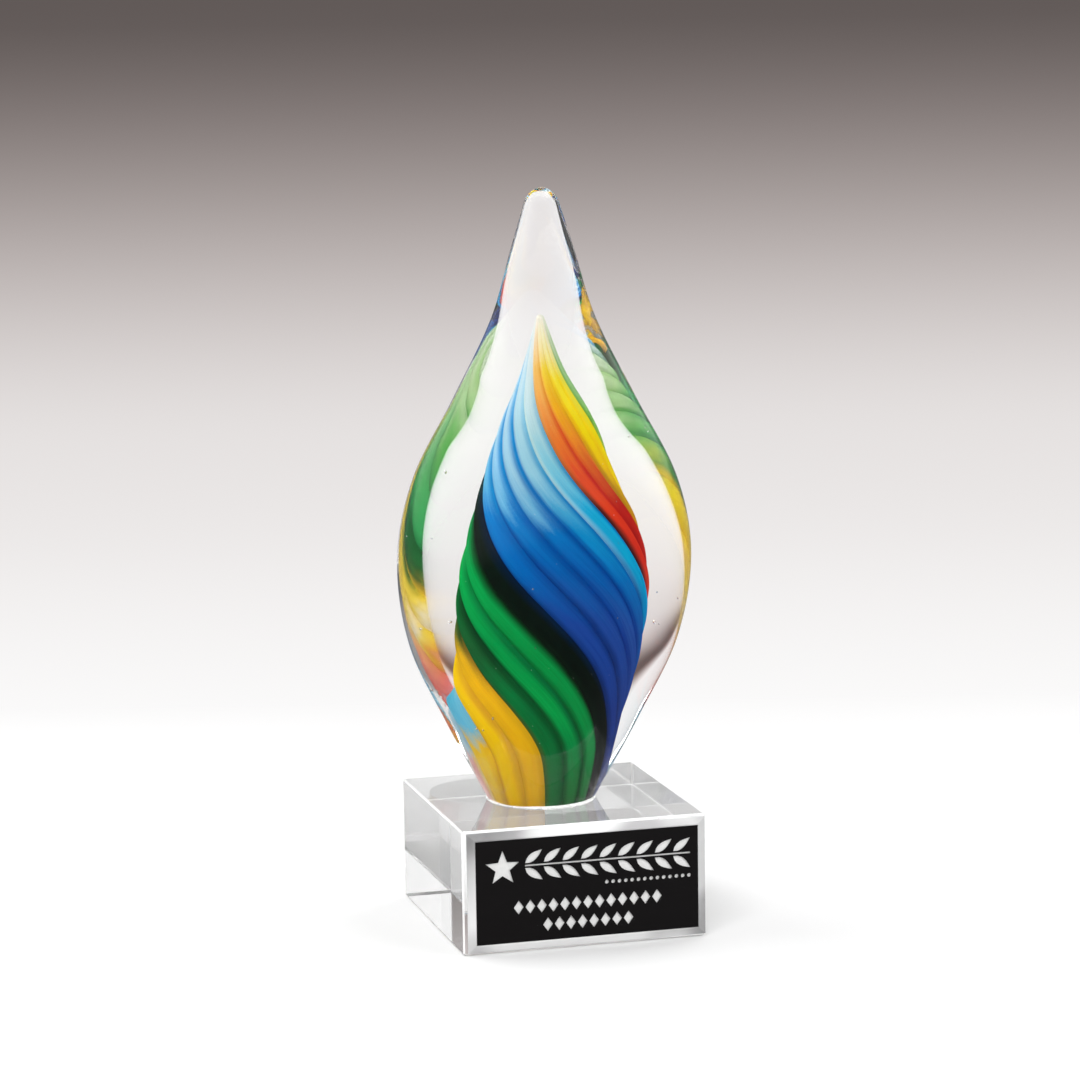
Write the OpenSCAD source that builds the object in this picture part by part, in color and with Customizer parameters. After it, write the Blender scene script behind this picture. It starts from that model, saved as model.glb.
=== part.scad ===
// Crystal award: a clear glass flame with a twisted, ribbed colour core inside it, glued on a clear
// crystal block that carries a bevelled silver nameplate with an engraved black panel.
// Sizes are in millimetres. Origin: middle of the block's underside. +Z is up, the nameplate faces -Y.

/* [Crystal block] */
// width of the block, left to right
block_width = 80; // [60:1:120]
// depth of the block, front to back
block_depth = 80; // [60:1:120]
// height of the block
block_height = 40; // [30:1:60]
// width of the small polished chamfer along every edge of the block
block_chamfer = 0.5; // [0.2:0.1:2]

/* [Glass flame] */
// height of the flame above its glue
flame_height = 198.2; // [120:0.1:260]
// half of the flame's largest width
flame_half_width = 47.7; // [30:0.1:70]
// depth of the flattened middle of the flame, as a share of its width
flame_flatness = 0.67; // [0.6:0.01:1]
// radius of the rounded tip
tip_radius = 4.6; // [2:0.1:8]
// how full the flattened section is: 1 for an ellipse, less for fuller sides
flame_fullness = 0.8; // [0.7:0.05:1]
// how far the flattened section turns from foot to tip, in degrees
flame_turn = -50; // [-60:1:60]
// how far the middle of the flame faces away from the front, in degrees
flame_facing = -9; // [-45:1:45]
// how far the middle of the flame bows to the right of its foot and tip
flame_bow = 1.1; // [-4:0.1:4]
// how far the foot stands from the block's middle, left to right
foot_offset = -3; // [-8:0.1:8]
// how far the tip leans to the right of the foot
flame_lean = 3; // [-6:0.1:6]
// thickness of the clear glue under the foot
glue_thickness = 0.2; // [0.1:0.05:0.5]
// how far the glue is squeezed out past the foot
glue_squeeze = 0.7; // [0:0.1:2]

/* [Colour core] */
// height of the core above the foot
core_height = 157; // [90:1:200]
// radius of the core at its widest, over the ribs
core_radius = 27; // [16:0.1:30]
// depth of the core as a share of its width
core_flatness = 0.85; // [0.7:0.01:1]
// how deep the grooves between two canes are, as a share of the core's radius
rib_depth = 0.065; // [0.02:0.005:0.12]
// full twist of the canes from foot to tip, in degrees
core_twist = 257; // [90:1:400]
// uneven hand twist, in degrees: canes are wider on one side and narrower on the other
twist_skew = 9; // [0:1:25]
// where the first green cane stands at the foot, in degrees to the right of the front
core_seat = -18; // [-180:1:180]
// radius of the white gather inside the canes, as a share of the core's radius
gather_share = 0.72; // [0.5:0.01:0.85]

/* [Nameplate] */
// width of the silver plate
plate_width = 78.4; // [50:0.1:118]
// height of the silver plate
plate_height = 38.6; // [25:0.1:58]
// how far the plate's middle sits to the right of the block's middle
plate_offset = 0.6; // [-2:0.1:2]
// thickness of the plate in its flat middle
plate_thickness = 1.3; // [0.8:0.1:3]
// thickness left at the plate's outer edge
plate_edge = 0.5; // [0.3:0.1:1]
// width of the mirror bevel around the plate
bevel_width = 2.1; // [1:0.1:5]
// width of the flat bright line between the bevel and the black panel
line_width = 0.5; // [0.2:0.1:1.5]
// thickness of the adhesive sheet behind the plate
sheet_thickness = 0.3; // [0.1:0.05:1]
// how far the adhesive sheet stays back from the plate's edge
sheet_margin = 0.8; // [0:0.1:3]
// thickness of the black panel
panel_thickness = 0.4; // [0.2:0.05:1]
// how far the black panel is let into the plate
panel_recess = 0.25; // [0.1:0.05:0.6]
// gap all around the black panel
panel_gap = 0.05; // [0.02:0.01:0.2]

/* [Engraving] */
// tip radius of the engraved star
star_radius = 5.9; // [3:0.1:8]
// number of leaf pairs in the engraved branch
leaf_pairs = 9; // [3:1:12]
// length of one engraved leaf
leaf_length = 7.2; // [3:0.1:9]
// number of beads in the short engraved row
bead_count = 14; // [4:1:24]
// number of lozenges in the upper engraved row
upper_lozenges = 13; // [5:1:21]
// number of lozenges in the lower engraved row
lower_lozenges = 8; // [3:1:21]

/* [Output] */
// which piece to draw, "all" for the whole award

/* [Hidden] */
$fn = 64;

// colours of the canes, in order round the core towards the right
cane_order = ["green", "green", "dark_green", "black", "blue", "blue", "blue", "blue", "blue",
              "red", "orange", "yellow", "yellow", "yellow_green", "yellow_green", "yellow_green"];
cane_count = len(cane_order);
// faces across one cane's rounded outside
cane_faces = 4;
// rings from the foot to the tip of the flame and of the core
flame_rings = 44;
core_rings = 38;

function cane_number(k) = len([for (i = [0:k]) if (cane_order[i] == cane_order[k]) 1]);
function cane_name(k) = str(cane_order[k], "_cane_", cane_number(k));
function cane_color(name) =
    name == "green" ? [0.0, 0.58, 0.27] :
    name == "dark_green" ? [0.02, 0.27, 0.13] :
    name == "black" ? [0.03, 0.07, 0.06] :
    name == "blue" ? [0.04, 0.34, 0.70] :
    name == "red" ? [0.82, 0.17, 0.13] :
    name == "orange" ? [0.95, 0.52, 0.12] :
    name == "yellow" ? [1.0, 0.80, 0.05] : [0.86, 0.78, 0.10];

// ---- smooth curves through a few stations [position, value] ----
function station(t, s, i = 0) = (i >= len(s) - 2 || t < s[i + 1][0]) ? i : station(t, s, i + 1);
function slope(s, i) =
    let (a = max(i - 1, 0), b = min(i + 1, len(s) - 1)) (s[b][1] - s[a][1]) / (s[b][0] - s[a][0]);
function curve(t, s) =
    let (i = station(t, s), d = s[i + 1][0] - s[i][0], u = (t - s[i][0]) / d)
    (2 * u * u * u - 3 * u * u + 1) * s[i][1] + (u * u * u - 2 * u * u + u) * d * slope(s, i)
    + (3 * u * u - 2 * u * u * u) * s[i + 1][1] + (u * u * u - u * u) * d * slope(s, i + 1);

// half width of the flame at shares of its height, as shares of its largest half width
flame_shape = [[0, 0.361], [0.13, 0.659], [0.26, 0.917], [0.4, 0.998], [0.53, 0.891], [0.66, 0.615],
               [0.79, 0.349], [0.9, 0.211], [1, 0.085]];
// how much of the flattening is reached at shares of the flame's height
flatten_shape = [[0, 0.2], [0.2, 0.75], [0.42, 1], [0.7, 0.8], [0.9, 0.35], [1, 0.1]];
// core radius over the ribs at shares of the core's height, as shares of its largest radius
core_shape = [[0, 0.52], [0.1, 0.645], [0.2, 0.76], [0.32, 0.925], [0.45, 0.99], [0.56, 0.885],
              [0.67, 0.67], [0.78, 0.465], [0.88, 0.225], [1, 0.03]];
// how far the core's middle wanders to the right of the flame's at shares of the core's height
core_drift = [[0, 0], [0.1, -0.5], [0.2, -0.1], [0.32, 0.6], [0.45, 1.8], [0.56, 2.1], [0.67, 1],
              [0.78, 0.9], [0.88, 0], [1, -0.6]];
// share of the twist reached at shares of the core's height
twist_shape = [[0, 0], [0.07, 0.006], [0.13, 0.03], [0.22, 0.125], [0.32, 0.25], [0.48, 0.46],
               [0.64, 0.665], [0.72, 0.765], [0.82, 0.865], [1, 1]];

foot_radius = flame_half_width * flame_shape[0][1];
foot_z = block_height + glue_thickness;
cap_start = flame_height - tip_radius;

// ---- the flame's outside ----
function tip_cap(z) = z <= cap_start ? 1 : sqrt(max(0, 1 - pow((z - cap_start) / tip_radius, 2)));
function flame_half(z) = flame_half_width * curve(z / flame_height, flame_shape) * tip_cap(z);
function flame_depth(z) = 1 - (1 - flame_flatness) * curve(z / flame_height, flatten_shape);
function flame_angle(z) = flame_facing + flame_turn * (z / flame_height - 0.5);
// a point at height z above the foot, seated on the block, leaning and bowing with the flame
function seat(x, y, z) =
    [foot_offset + x + flame_lean * z / flame_height + flame_bow * sin(180 * z / flame_height), y, foot_z + z];
function flame_point(a, z) =
    let (w = flame_half(z), x = w * sin(a), q = flame_angle(z),
         y = -w * flame_depth(z) * sign(cos(a)) * pow(abs(cos(a)), flame_fullness))
    seat(x * cos(q) - y * sin(q), x * sin(q) + y * cos(q), z);
function flame_level(j) = flame_height * (1 - pow(1 - j / flame_rings, 1.45));

// ---- the canes' outside, shared by the canes and the hollow in the flame ----
function core_level(j) = core_height * (1 - pow(1 - j / (core_rings - 1), 1.1));
function core_half(z) = core_radius * curve(z / core_height, core_shape);
function cane_angle(k, z) =
    let (a = core_seat + 360 * k / cane_count - core_twist * curve(z / core_height, twist_shape))
    a + twist_skew * sin(a + 90);
function core_point(a, r, z) =
    seat(r * sin(a) + curve(z / core_height, core_drift), -r * core_flatness * cos(a), z);
// step i of cane_faces across cane k; the rib is full in its middle and grooved at both sides
function rib_point(k, i, z) =
    let (u = i / cane_faces,
         a = cane_angle(k, z) + u * (cane_angle(k + 1, z) - cane_angle(k, z)),
         r = core_half(z) * (1 - rib_depth + rib_depth * sqrt(max(0, sin(180 * u)))))
    core_point(a, r, z);
function gather_point(k, z) = core_point(cane_angle(k, z), gather_share * core_half(z), z);

// side walls between rings of n points, the first point of ring j being number first + n * j; each wall is cut
// corner to corner, and the walls from number turned on are cut the other way, to lie flush on a neighbour's
function walls(n, rings, first = 0, turned = 1000) =
    [for (j = [0:rings - 1], i = [0:n - 1]) let (a = first + j * n + i, b = first + j * n + (i + 1) % n)
        each (i < turned ? [[a, b + n, b], [a, a + n, b + n]] : [[a, a + n, b], [a + n, b + n, b]])];
function flipped(faces) = [for (f = faces) [f[2], f[1], f[0]]];

module chamfered_block(w, d, h, c) {
    intersection() {
        linear_extrude(h) chamfered_rectangle(w, d, c);
        translate([-w / 2, 0, h / 2]) rotate([90, 0, 90]) linear_extrude(w) chamfered_rectangle(d, h, c);
        translate([0, d / 2, h / 2]) rotate([90, 0, 0]) linear_extrude(d) chamfered_rectangle(w, h, c);
    }
}

module chamfered_rectangle(w, h, c) {
    x = w / 2;
    y = h / 2;
    polygon([[-x + c, -y], [x - c, -y], [x, -y + c], [x, y - c], [x - c, y], [-x + c, y], [-x, y - c], [-x, -y + c]]);
}

module crystal_block() {
    color([0.93, 0.97, 0.98, 0.45]) chamfered_block(block_width, block_depth, block_height, block_chamfer);
}

module foot_glue() {
    color([0.97, 0.97, 0.95, 0.7]) translate([foot_offset, 0, block_height])
        cylinder(h = glue_thickness, r = foot_radius + glue_squeeze);
}

// the clear outer gather: one closed skin that runs up the outside, and up the hollow for the core
module glass_flame() {
    n = cane_count * cane_faces;
    outside = [for (j = [0:flame_rings - 1], i = [0:n - 1]) flame_point(core_seat + 360 * i / n, flame_level(j))];
    hollow = [for (j = [0:core_rings - 1], k = [0:cane_count - 1], i = [0:cane_faces - 1])
        rib_point(k, i, core_level(j))];
    tip = len(outside) + len(hollow);
    last_out = (flame_rings - 1) * n;
    last_in = len(outside) + (core_rings - 1) * n;
    color([0.90, 0.96, 0.98, 0.35]) polyhedron(
        points = concat(outside, hollow, [seat(0, 0, flame_height)],
                        [core_point(0, 0, core_level(core_rings - 1))]),
        faces = concat(
            walls(n, flame_rings - 1),
            [for (i = [0:n - 1]) [last_out + i, tip, last_out + (i + 1) % n]],
            flipped(walls(n, core_rings - 1, len(outside))),
            [for (i = [0:n - 1]) [last_in + (i + 1) % n, tip + 1, last_in + i]],
            [for (i = [0:n - 1]) let (a = i, b = (i + 1) % n, c = len(outside) + i, d = len(outside) + b)
                each [[a, b, d], [a, d, c]]]));
}

// the white gather that the canes were laid on: a twisted many-sided core
module white_gather() {
    n = cane_count;
    rings = core_rings;
    color([0.96, 0.96, 0.92]) polyhedron(
        points = [for (j = [0:rings - 1], k = [0:n - 1]) gather_point(k, core_level(j))],
        faces = concat(walls(n, rings - 1),
            [for (i = [1:n - 2]) [0, i, i + 1]],
            [for (i = [1:n - 2]) let (t = (rings - 1) * n) [t, t + i + 1, t + i]]));
}

// one colour cane: a twisted strip, flat on the gather and at its two sides, rounded outside
module colour_cane(k) {
    n = cane_faces + 3;
    top = (core_rings - 1) * n;
    color(cane_color(cane_order[k])) polyhedron(
        points = [for (j = [0:core_rings - 1]) let (z = core_level(j))
            each concat([for (i = [0:cane_faces]) rib_point(k, i, z)], [gather_point(k + 1, z), gather_point(k, z)])],
        faces = concat(walls(n, core_rings - 1, turned = cane_faces + 1),
            [for (i = [0:n - 3]) [n - 1, i, i + 1]],
            [for (i = [0:n - 3]) [top + n - 1, top + i + 1, top + i]]));
}

plate_y = -block_depth / 2;

// ---- places on the front of the plate: x to the right, z up from the plate's middle ----
module on_plate(y) {
    translate([plate_offset, y, block_height / 2]) rotate([90, 0, 0]) children();
}

module adhesive_sheet() {
    color([0.95, 0.95, 0.93]) on_plate(plate_y) linear_extrude(sheet_thickness)
        square([plate_width - 2 * sheet_margin, plate_height - 2 * sheet_margin], center = true);
}

plate_back = plate_y - sheet_thickness;
field_inset = bevel_width + line_width;

// a slab with sloping edges: the meeting of two long bars, so that the bevels mitre at the corners
module bevelled_slab(w, h, t, edge, bevel) {
    intersection() {
        rotate([90, 0, 0]) translate([0, 0, -h / 2]) linear_extrude(h) bevel_section(w, t, edge, bevel);
        rotate([90, 0, 90]) translate([0, 0, -w / 2]) linear_extrude(w) bevel_section(h, t, edge, bevel);
    }
}

module bevel_section(w, t, edge, bevel) {
    x = w / 2;
    polygon([[-x, 0], [x, 0], [x, edge], [x - bevel, t], [-x + bevel, t], [-x, edge]]);
}

module silver_plate() {
    color([0.86, 0.87, 0.88]) on_plate(plate_back) difference() {
        bevelled_slab(plate_width, plate_height, plate_thickness, plate_edge, bevel_width);
        translate([0, 0, plate_thickness - panel_recess]) linear_extrude(panel_recess + 1)
            square([plate_width - 2 * field_inset, plate_height - 2 * field_inset], center = true);
    }
}

panel_width = plate_width - 2 * field_inset - 2 * panel_gap;
panel_height = plate_height - 2 * field_inset - 2 * panel_gap;

module star(r) {
    polygon([for (i = [0:9]) let (q = i % 2 == 0 ? r : r * 0.42) [q * sin(36 * i), q * cos(36 * i)]]);
}

// a pointed leaf from the origin along +x
module leaf(l, w) {
    side = [for (i = [0:6]) let (u = i / 6) [l * u, w / 2 * sin(180 * pow(u, 0.8))]];
    polygon(concat(side, [for (i = [5:-1:1]) [side[i][0], -side[i][1]]]));
}

module lozenge(l, w) {
    polygon([[-l / 2, 0], [0, -w / 2], [l / 2, 0], [0, w / 2]]);
}

// the engraving, cut through the black panel so that the silver shows
module engraving() {
    branch_x = -panel_width / 2 + 4.2 + 2 * star_radius;
    branch_l = panel_width / 2 - 2.5 - branch_x;
    pitch = (branch_l - leaf_length * 0.8) / (leaf_pairs - 1);
    translate([-panel_width / 2 + 2.8 + star_radius, 7.6]) star(star_radius);
    translate([branch_x, 8]) {
        translate([0, -0.3]) square([branch_l, 0.6]);
        for (i = [0:leaf_pairs - 1], s = [-1, 1]) translate([i * pitch, s * 0.75])
            rotate(s * 36) leaf(leaf_length, leaf_length * 0.36);
    }
    for (i = [0:bead_count - 1]) translate([panel_width / 2 - 3 - 2.1 * i, 0.6]) circle(r = 0.65, $fn = 24);
    for (i = [0:upper_lozenges - 1]) translate([3.8 * (i - (upper_lozenges - 1) / 2), -5.4]) lozenge(3.3, 4.6);
    for (i = [0:lower_lozenges - 1]) translate([3.8 * (i - (lower_lozenges - 1) / 2), -11.6]) lozenge(3.3, 4.6);
}

module black_panel() {
    color([0.03, 0.03, 0.035]) on_plate(plate_back - plate_thickness + panel_recess)
        linear_extrude(panel_thickness) difference() {
            square([panel_width, panel_height], center = true);
            engraving();
        }
}

crystal_block();
foot_glue();
glass_flame();
white_gather();
for (k = [0:cane_count - 1]) colour_cane(k);
adhesive_sheet();
silver_plate();
black_panel();
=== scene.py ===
"""Crystal award: a clear glass flame over a twisted colour core, on a crystal block with a nameplate.

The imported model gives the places. Sizes in the classes are millimetres, as a glass maker would note them,
and every mesh is laid down in metres. Angles round the core start at the front and grow to the right.
"""
import logging
import math
import random
from dataclasses import dataclass
from enum import Enum

import bmesh
import bpy
import numpy as np
from mathutils import Matrix, Vector


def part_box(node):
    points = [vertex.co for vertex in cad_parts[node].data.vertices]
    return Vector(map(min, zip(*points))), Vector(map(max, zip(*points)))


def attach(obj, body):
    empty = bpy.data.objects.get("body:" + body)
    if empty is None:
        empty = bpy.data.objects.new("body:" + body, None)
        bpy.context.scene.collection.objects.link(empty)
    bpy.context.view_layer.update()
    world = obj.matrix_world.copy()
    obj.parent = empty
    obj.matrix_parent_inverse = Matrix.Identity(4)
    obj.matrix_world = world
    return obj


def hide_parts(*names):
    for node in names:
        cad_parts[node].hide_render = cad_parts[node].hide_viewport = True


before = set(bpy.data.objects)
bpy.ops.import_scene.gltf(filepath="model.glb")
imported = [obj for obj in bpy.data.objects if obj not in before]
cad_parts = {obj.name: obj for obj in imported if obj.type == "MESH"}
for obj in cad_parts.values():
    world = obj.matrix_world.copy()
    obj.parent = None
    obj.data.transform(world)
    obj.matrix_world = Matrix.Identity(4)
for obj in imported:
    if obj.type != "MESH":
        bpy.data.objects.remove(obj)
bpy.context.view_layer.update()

MM = 0.001
ROOT = "root"
LOG = logging.getLogger("award")

Stations = tuple[tuple[float, float], ...]
Rgb = tuple[float, float, float]


# ---------------------------------------------------------------- curves and colours


@dataclass(frozen=True)
class Curve:
    """A smooth curve through a few stations of position and value."""

    stations: Stations

    def at(self, t: np.ndarray) -> np.ndarray:
        """Reads the curve.

        Args:
            t: Positions, inside the first and last station.

        Returns:
            The value at each position.
        """
        place = np.array([s[0] for s in self.stations])
        value = np.array([s[1] for s in self.stations])
        low = np.maximum(np.arange(len(place)) - 1, 0)
        high = np.minimum(np.arange(len(place)) + 1, len(place) - 1)
        slope = (value[high] - value[low]) / (place[high] - place[low])
        t = np.asarray(t, dtype=float)
        i = np.clip(np.searchsorted(place, t, side="right") - 1, 0, len(place) - 2)
        step = place[i + 1] - place[i]
        u = (t - place[i]) / step
        return (
            (2 * u**3 - 3 * u**2 + 1) * value[i]
            + (u**3 - 2 * u**2 + u) * step * slope[i]
            + (3 * u**2 - 2 * u**3) * value[i + 1]
            + (u**3 - u**2) * step * slope[i + 1]
        )


def linear(code: str) -> Rgb:
    """Turns a six-digit colour code into linear red, green and blue."""
    parts = (int(code[i : i + 2], 16) / 255 for i in (0, 2, 4))
    red, green, blue = (c / 12.92 if c <= 0.04045 else ((c + 0.055) / 1.055) ** 2.4 for c in parts)
    return red, green, blue


# ---------------------------------------------------------------- meshes


def ring_faces(rings: int, sides: int, first: int = 0, inward: bool = False) -> list[tuple[int, ...]]:
    """Walls between closed rings of points.

    Args:
        rings: Number of rings, one above the other.
        sides: Points in each ring, going round to the right.
        first: Number of the lowest ring's first point.
        inward: Turns the walls towards the inside.

    Returns:
        Four-sided faces.
    """
    faces = []
    for j in range(rings - 1):
        for i in range(sides):
            a, b = first + j * sides + i, first + j * sides + (i + 1) % sides
            face = (a, b, b + sides, a + sides)
            faces.append(face[::-1] if inward else face)
    return faces


def fan_faces(start: int, sides: int, middle: int, downward: bool = False) -> list[tuple[int, ...]]:
    """Closes a ring of points onto one middle point."""
    ring = [(start + i, start + (i + 1) % sides, middle) for i in range(sides)]
    return [f[::-1] for f in ring] if downward else ring


def lay_mesh(
    name: str,
    points: np.ndarray,
    faces: list[tuple[int, ...]],
    materials: list[bpy.types.Material],
    crease: float | None = None,
) -> bpy.types.Object:
    """Makes a smooth-shaded object from points in millimetres.

    Args:
        name: Name of the piece.
        points: One row of x, y, z for each point.
        faces: Point numbers of each face, seen from outside.
        materials: Finishes in slot order.
        crease: Edges that turn more than this many degrees stay sharp.

    Returns:
        The new object, already in the scene.
    """
    mesh = bpy.data.meshes.new(name)
    mesh.from_pydata((np.asarray(points, dtype=float) * MM).tolist(), [], faces)
    for material in materials:
        mesh.materials.append(material)
    mesh.polygons.foreach_set("use_smooth", [True] * len(mesh.polygons))
    if crease is not None:
        mesh.set_sharp_from_angle(angle=math.radians(crease))
    mesh.validate()
    mesh.update()
    piece = bpy.data.objects.new(name, mesh)
    bpy.context.scene.collection.objects.link(piece)
    return piece


def settle(piece: bpy.types.Object, slot: str, *nodes: str) -> None:
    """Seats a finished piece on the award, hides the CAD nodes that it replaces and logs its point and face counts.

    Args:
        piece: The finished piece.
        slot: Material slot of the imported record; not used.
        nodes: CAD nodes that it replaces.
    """
    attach(piece, ROOT)
    if nodes:
        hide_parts(*nodes)
    LOG.info("%s: %d points, %d faces", piece.name, len(piece.data.vertices), len(piece.data.polygons))


# ---------------------------------------------------------------- shader desk


class Desk:
    """Lays out the nodes of one material, with a Principled shader at the end."""

    def __init__(self, name: str) -> None:
        """Starts an empty material of that name."""
        self.material = bpy.data.materials.new(name)
        self.material.use_nodes = True
        self.tree = self.material.node_tree
        self.tree.nodes.clear()
        self.shader = self.tree.nodes.new("ShaderNodeBsdfPrincipled")
        output = self.tree.nodes.new("ShaderNodeOutputMaterial")
        self.tree.links.new(self.shader.outputs["BSDF"], output.inputs["Surface"])

    def feed(self, socket: bpy.types.NodeSocket, value: object) -> None:
        """Links a socket to another socket, or sets it to a plain number or colour."""
        if isinstance(value, bpy.types.NodeSocket):
            self.tree.links.new(value, socket)
        elif isinstance(value, tuple) and socket.type == "RGBA":
            socket.default_value = (*value[:3], 1.0)
        else:
            socket.default_value = value

    def set(self, **inputs: object) -> None:
        """Sets inputs of the shader, named with underscores for spaces."""
        for name, value in inputs.items():
            self.feed(self.shader.inputs[name.replace("_", " ")], value)

    def place(self) -> bpy.types.NodeSocket:
        """Gives the point's own place on the award, in metres."""
        return self.tree.nodes.new("ShaderNodeTexCoord").outputs["Object"]

    def axes(self, vector: bpy.types.NodeSocket) -> tuple[bpy.types.NodeSocket, ...]:
        """Splits a vector in its three parts."""
        node = self.tree.nodes.new("ShaderNodeSeparateXYZ")
        self.feed(node.inputs[0], vector)
        return tuple(node.outputs)

    def vector(self, x: object, y: object, z: object) -> bpy.types.NodeSocket:
        """Joins three numbers to a vector."""
        node = self.tree.nodes.new("ShaderNodeCombineXYZ")
        for socket, value in zip(node.inputs, (x, y, z)):
            self.feed(socket, value)
        return node.outputs[0]

    def math(self, operation: str, *values: object, clamp: bool = False) -> bpy.types.NodeSocket:
        """Works one sum out on numbers or sockets."""
        node = self.tree.nodes.new("ShaderNodeMath")
        node.operation = operation
        node.use_clamp = clamp
        for socket, value in zip(node.inputs, values):
            self.feed(socket, value)
        return node.outputs[0]

    def spread(self, value: object, low: float, high: float, to_low: float = 0.0, to_high: float = 1.0,
               smooth: bool = False) -> bpy.types.NodeSocket:
        """Maps a range of numbers to another range and holds it at both ends.

        Args:
            value: Number or socket.
            low: Start of the range.
            high: End of the range.
            to_low: What the start becomes.
            to_high: What the end becomes.
            smooth: Eases both ends.

        Returns:
            The mapped number.
        """
        node = self.tree.nodes.new("ShaderNodeMapRange")
        node.interpolation_type = "SMOOTHSTEP" if smooth else "LINEAR"
        for name, number in (("Value", value), ("From Min", low), ("From Max", high),
                             ("To Min", to_low), ("To Max", to_high)):
            self.feed(node.inputs[name], number)
        return node.outputs[0]

    def noise(self, vector: bpy.types.NodeSocket, scale: float, detail: float = 3.0,
              roughness: float = 0.5) -> bpy.types.NodeSocket:
        """Cloudy noise between 0 and 1."""
        node = self.tree.nodes.new("ShaderNodeTexNoise")
        self.feed(node.inputs["Vector"], vector)
        for name, number in (("Scale", scale), ("Detail", detail), ("Roughness", roughness)):
            node.inputs[name].default_value = number
        return node.outputs["Fac"]

    def drawn(self, x: bpy.types.NodeSocket, z: bpy.types.NodeSocket, across: float, up: float,
              detail: float, roughness: float = 0.5) -> bpy.types.NodeSocket:
        """Noise on an upright face, with its own scale across and up."""
        stretched = self.vector(self.math("MULTIPLY", x, across), 0.0, self.math("MULTIPLY", z, up))
        return self.noise(stretched, 1.0, detail, roughness)

    def cells(self, vector: bpy.types.NodeSocket, scale: float) -> bpy.types.NodeSocket:
        """Distance to the nearest of many scattered points."""
        node = self.tree.nodes.new("ShaderNodeTexVoronoi")
        self.feed(node.inputs["Vector"], vector)
        node.inputs["Scale"].default_value = scale
        return node.outputs["Distance"]

    def ramp(self, value: bpy.types.NodeSocket, stops: list[tuple[float, Rgb]]) -> bpy.types.NodeSocket:
        """Colour along a range, eased between its stops."""
        node = self.tree.nodes.new("ShaderNodeValToRGB")
        node.color_ramp.interpolation = "LINEAR"
        elements = node.color_ramp.elements
        elements[0].position, elements[0].color = stops[0][0], (*stops[0][1], 1.0)
        elements[1].position, elements[1].color = stops[-1][0], (*stops[-1][1], 1.0)
        for position, colour in stops[1:-1]:
            elements.new(position).color = (*colour, 1.0)
        self.feed(node.inputs[0], value)
        return node.outputs["Color"]

    def blend(self, share: object, first: object, second: object, how: str = "MIX") -> bpy.types.NodeSocket:
        """Mixes two colours by a share between 0 and 1."""
        node = self.tree.nodes.new("ShaderNodeMix")
        node.data_type = "RGBA"
        node.blend_type = how
        self.feed(node.inputs[0], share)
        self.feed(node.inputs[6], first)
        self.feed(node.inputs[7], second)
        return node.outputs[2]

    def bump(self, height: bpy.types.NodeSocket, strength: float, distance: float) -> None:
        """Gives the shader a fine relief.

        Args:
            height: Relief between 0 and 1.
            strength: Share of the relief that shows.
            distance: Depth of the relief in metres.
        """
        node = self.tree.nodes.new("ShaderNodeBump")
        node.inputs["Strength"].default_value = strength
        node.inputs["Distance"].default_value = distance
        self.feed(node.inputs["Height"], height)
        self.feed(self.shader.inputs["Normal"], node.outputs[0])


# ---------------------------------------------------------------- finishes


@dataclass(frozen=True)
class ClearGlass:
    """Clear glass or crystal, with faint cords in it and a trace of handling on it."""

    name: str
    tint: Rgb = (1.0, 1.0, 1.0)
    refraction: float = 1.5
    polish: float = 0.0
    smear: float = 0.012
    cord_scale: float = 26.0
    cord_depth: float = 0.00002
    milk: float = 0.0

    def material(self) -> bpy.types.Material:
        """Builds the glass."""
        desk = Desk(self.name)
        place = desk.place()
        touch = desk.noise(place, 38.0, 4.0, 0.6)
        smear = desk.spread(touch, 0.52, 0.74, self.polish, self.polish + self.smear)
        deeper = tuple(0.985 * c for c in self.tint)
        desk.set(Base_Color=desk.blend(desk.noise(place, 9.0, 2.0), self.tint, deeper),
                 Roughness=smear, IOR=self.refraction, Transmission_Weight=1.0 - self.milk)
        desk.bump(desk.noise(place, self.cord_scale, 1.0), 1.0, self.cord_depth)
        return desk.material


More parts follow.
